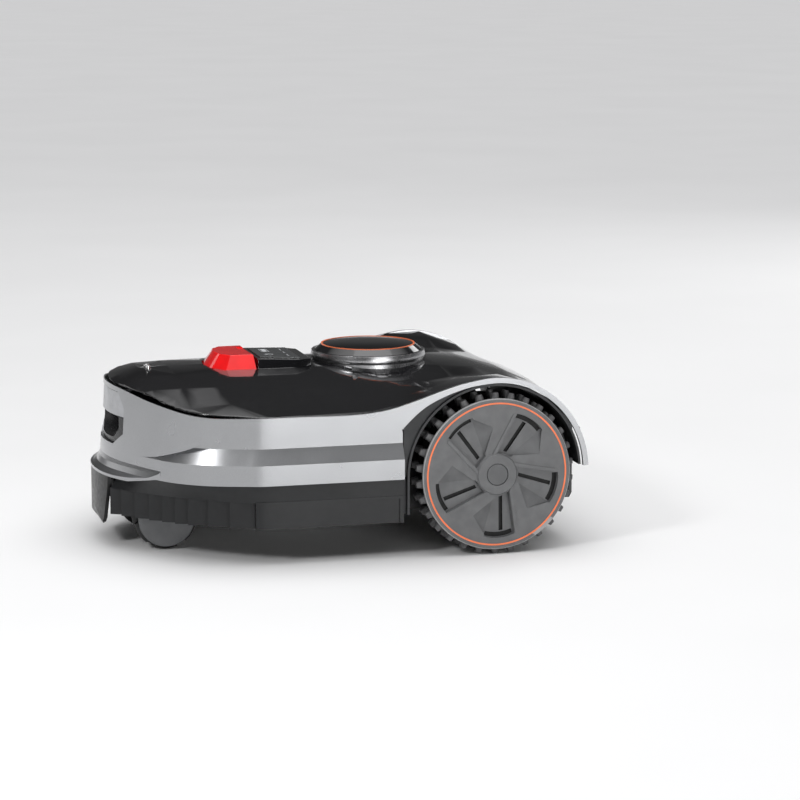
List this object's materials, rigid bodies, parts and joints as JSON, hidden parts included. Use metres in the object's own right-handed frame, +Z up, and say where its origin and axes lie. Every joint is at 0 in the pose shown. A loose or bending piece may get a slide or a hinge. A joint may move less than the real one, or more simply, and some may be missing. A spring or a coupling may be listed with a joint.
{
  "type": "robotic lawn mower",
  "caption": "Robotic lawn mower with two driven treaded rear wheels, front omni wheels, a pivoting-blade cutter disc that rises and falls, a stop button, a sprung bumper and an antenna dome.",
  "frame": {"origin": "on the ground under the middle of the mower's bounding box", "axes": "+Z up, -Y towards the nose, +X towards the mower's left side"},
  "size_m": [0.5304, 0.7159, 0.293],
  "materials": {
    "silver_shell": "glossy metallic silver grey",
    "visor": "satin light grey",
    "black_gloss": "high-gloss black",
    "display": "unlit grey screen window",
    "dome_trim": "satin silver chamfered trim",
    "orange_line": "bright orange line",
    "sensor_pin": "bare metal pin",
    "red_button": "glossy red",
    "black_satin": "satin black",
    "bumper": "satin black",
    "rubber": "matt black rubber",
    "tub": "fine-textured black",
    "skirt": "satin dark grey",
    "battery": "sleeved battery block",
    "board": "solder-resist green",
    "bezel": "satin charcoal",
    "lens": "coated lens",
    "steel": "bare steel",
    "steel_disc": "pressed steel",
    "blade": "ground steel",
    "brass": "polished contact",
    "liner": "satin dark grey",
    "motor": "grey can",
    "wheel_grey": "satin mid grey",
    "cap_grey": "satin grey cap",
    "tyre": "black rubber",
    "omni_grey": "satin grey",
    "roller": "black rubber barrels"
  },
  "bodies": {
    "chassis": {"antenna_dome": "black_gloss", "arch_liner_left": "liner", "arch_liner_right": "liner", "battery_hatch": "tub", "battery_pack": "battery", "body_shell": "silver_shell", "bumper_buffers": "rubber", "camera_bezel": "bezel", "camera_housing": "black_satin", "camera_lens": "lens", "charging_contacts": "brass", "chassis_tub": "tub", "control_board": "board", "control_panel": "black_gloss", "display_window": "display", "dome_light_ring": "orange_line", "dome_trim_ring": "dome_trim", "drive_motor_left": "motor", "drive_motor_right": "motor", "guide_rods": "steel", "hatch_screws": "steel", "height_motor": "motor", "nose_visor": "visor", "omni_axles": "steel", "omni_bracket_left": "tub", "omni_bracket_right": "tub", "rain_sensor": "sensor_pin", "rear_panel": "skirt", "side_skirt_left": "skirt", "side_skirt_right": "skirt", "stop_spring": "steel", "stop_switch": "black_satin", "top_cover": "black_gloss"},
    "drive_wheel_left": {"wheel_disc_left": "wheel_grey", "wheel_ring_left": "orange_line", "hub_cap_left": "cap_grey", "tyre_left": "tyre", "drive_axle_left": "steel"},
    "omni_wheel_left": {"omni_hub_left": "omni_grey", "omni_rollers_left": "roller"},
    "drive_wheel_right": {"wheel_disc_right": "wheel_grey", "wheel_ring_right": "orange_line", "hub_cap_right": "cap_grey", "tyre_right": "tyre", "drive_axle_right": "steel"},
    "omni_wheel_right": {"omni_hub_right": "omni_grey", "omni_rollers_right": "roller"},
    "carriage": {"height_carriage": "tub", "cutting_motor": "motor"},
    "leadscrew": {"height_leadscrew": "steel"},
    "cutter": {"cutter_disc": "steel_disc", "blade_screws": "steel"},
    "blade_1": {"blade_1": "blade"},
    "blade_2": {"blade_2": "blade"},
    "blade_3": {"blade_3": "blade"},
    "blade_4": {"blade_4": "blade"},
    "blade_5": {"blade_5": "blade"},
    "blade_6": {"blade_6": "blade"},
    "stop": {"stop_button": "red_button"},
    "bumper": {"front_bumper": "bumper"}
  },
  "joints": [
    {"name": "drive_wheel_left", "type": "hinge", "parent": "chassis", "child": "drive_wheel_left", "pos_m": [0.23, 0.212, 0.123], "axis": [1, 0, 0], "continuous": true},
    {"name": "omni_wheel_left", "type": "hinge", "parent": "chassis", "child": "omni_wheel_left", "pos_m": [0.08, -0.262, 0.048], "axis": [1, 0, 0], "continuous": true},
    {"name": "drive_wheel_right", "type": "hinge", "parent": "chassis", "child": "drive_wheel_right", "pos_m": [-0.23, 0.212, 0.123], "axis": [1, 0, 0], "continuous": true},
    {"name": "omni_wheel_right", "type": "hinge", "parent": "chassis", "child": "omni_wheel_right", "pos_m": [-0.08, -0.262, 0.048], "axis": [1, 0, 0], "continuous": true},
    {"name": "height_slide", "type": "slide", "parent": "chassis", "child": "carriage", "axis": [0, 0, 1], "range_m": [-0.025, 0.025]},
    {"name": "leadscrew_spin", "type": "hinge", "parent": "chassis", "child": "leadscrew", "pos_m": [0, 0.034, 0.16], "axis": [0, 0, 1], "range_deg": [-1126, 1126]},
    {"name": "cutter_spin", "type": "hinge", "parent": "carriage", "child": "cutter", "pos_m": [0, -0.02, 0.047], "axis": [0, 0, 1], "continuous": true},
    {"name": "blade_swing_1", "type": "hinge", "parent": "cutter", "child": "blade_1", "pos_m": [0.082, -0.02, 0.044], "axis": [0, 0, 1], "continuous": true},
    {"name": "blade_swing_2", "type": "hinge", "parent": "cutter", "child": "blade_2", "pos_m": [0.041, 0.05101, 0.044], "axis": [0, 0, 1], "continuous": true},
    {"name": "blade_swing_3", "type": "hinge", "parent": "cutter", "child": "blade_3", "pos_m": [-0.041, 0.05101, 0.044], "axis": [0, 0, 1], "continuous": true},
    {"name": "blade_swing_4", "type": "hinge", "parent": "cutter", "child": "blade_4", "pos_m": [-0.082, -0.02, 0.044], "axis": [0, 0, 1], "continuous": true},
    {"name": "blade_swing_5", "type": "hinge", "parent": "cutter", "child": "blade_5", "pos_m": [-0.041, -0.09101, 0.044], "axis": [0, 0, 1], "continuous": true},
    {"name": "blade_swing_6", "type": "hinge", "parent": "cutter", "child": "blade_6", "pos_m": [0.041, -0.09101, 0.044], "axis": [0, 0, 1], "continuous": true},
    {"name": "stop_press", "type": "slide", "parent": "chassis", "child": "stop", "axis": [0, 0, -1], "range_m": [0, 0.004], "stiffness_N_per_m": 1500, "springref_m": -0.002, "deforming": ["stop_spring"]},
    {"name": "bumper_press", "type": "slide", "parent": "chassis", "child": "bumper", "axis": [0, 1, 0], "range_m": [0, 0.006], "stiffness_N_per_m": 4000, "springref_m": -0.002}
  ],
  "couplings": [
    {"joint": "leadscrew_spin", "follows": "height_slide", "rad_per_m": 785.4}
  ]
}
